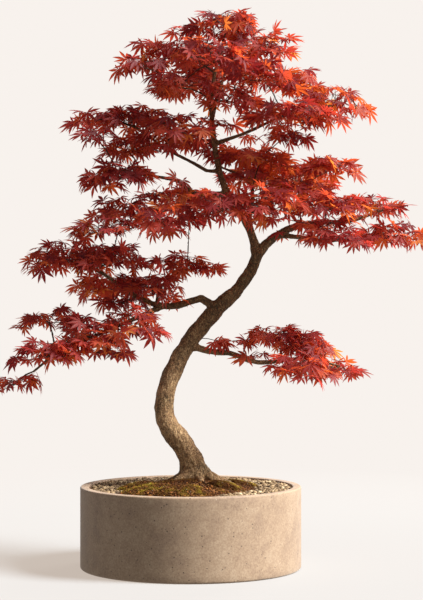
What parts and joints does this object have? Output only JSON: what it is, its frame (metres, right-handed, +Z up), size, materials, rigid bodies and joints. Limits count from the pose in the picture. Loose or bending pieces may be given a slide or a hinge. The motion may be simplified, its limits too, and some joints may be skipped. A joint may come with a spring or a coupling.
{
  "type": "potted japanese maple",
  "caption": "Potted bonsai Japanese maple: curved trunk, layered crown of drooping red palmate leaves, and a low round cast-stone pot with soil, gravel and moss.",
  "frame": {"origin": "centre of the pot's flat underside, on the surface that the pot stands on", "axes": "+Z up, front of the tree towards -Y, +X to the right when looking at its front"},
  "size_m": [0.6939, 0.3607, 0.9106],
  "materials": {
    "cast_stone": "matte fine cast stone, warm taupe, with small dark and light specks",
    "plastic_mesh": "matte black plastic drainage mesh",
    "soil": "dark brown crumbly bonsai soil",
    "gravel": "small rounded beige and brown gravel",
    "moss": "yellow-green cushion moss",
    "bark": "finely furrowed grey-brown bark",
    "leaves": "thin matte crimson to orange-red leaves"
  },
  "bodies": {
    "root": {"drainage_mesh_left": "plastic_mesh", "drainage_mesh_right": "plastic_mesh", "foliage_back_left": "leaves", "foliage_crown_back": "leaves", "foliage_crown_centre": "leaves", "foliage_crown_front": "leaves", "foliage_crown_left_back": "leaves", "foliage_crown_left_tip": "leaves", "foliage_crown_lower_left": "leaves", "foliage_crown_lower_right": "leaves", "foliage_crown_right": "leaves", "foliage_crown_right_back": "leaves", "foliage_crown_right_low_tip": "leaves", "foliage_crown_right_tip": "leaves", "foliage_crown_top": "leaves", "foliage_crown_top_right": "leaves", "foliage_crown_upper_left": "leaves", "foliage_inner_twig": "leaves", "foliage_low_left_back": "leaves", "foliage_low_left_inner": "leaves", "foliage_low_left_upper": "leaves", "foliage_low_left_upper_tip": "leaves", "foliage_low_right_front": "leaves", "foliage_low_right_outer": "leaves", "foliage_low_right_tip": "leaves", "foliage_low_right_upper": "leaves", "foliage_lowest_left_end": "leaves", "foliage_lowest_left_inner": "leaves", "foliage_lowest_left_outer": "leaves", "foliage_lowest_left_tip": "leaves", "foliage_lowest_left_up_tip": "leaves", "foliage_mid_front": "leaves", "foliage_mid_front_left": "leaves", "foliage_mid_left_far": "leaves", "foliage_mid_left_inner": "leaves", "foliage_mid_left_tip": "leaves", "foliage_mid_right_back": "leaves", "foliage_mid_right_upper": "leaves", "foliage_right_back": "leaves", "foliage_right_front": "leaves", "foliage_right_hanging": "leaves", "foliage_right_mid": "leaves", "foliage_right_tip_lower": "leaves", "foliage_right_tip_upper": "leaves", "foliage_right_upper_inner": "leaves", "foliage_right_upper_outer": "leaves", "foliage_upper_left_inner": "leaves", "foliage_upper_left_low_tip": "leaves", "foliage_upper_left_outer": "leaves", "foliage_upper_left_tip": "leaves", "foliage_upper_left_under": "leaves", "gravel_bed": "gravel", "moss_front": "moss", "moss_front_left": "moss", "moss_front_right": "moss", "moss_left": "moss", "moss_right": "moss", "pot": "cast_stone", "soil": "soil", "trunk_and_branches": "bark"}
  },
  "joints": []
}
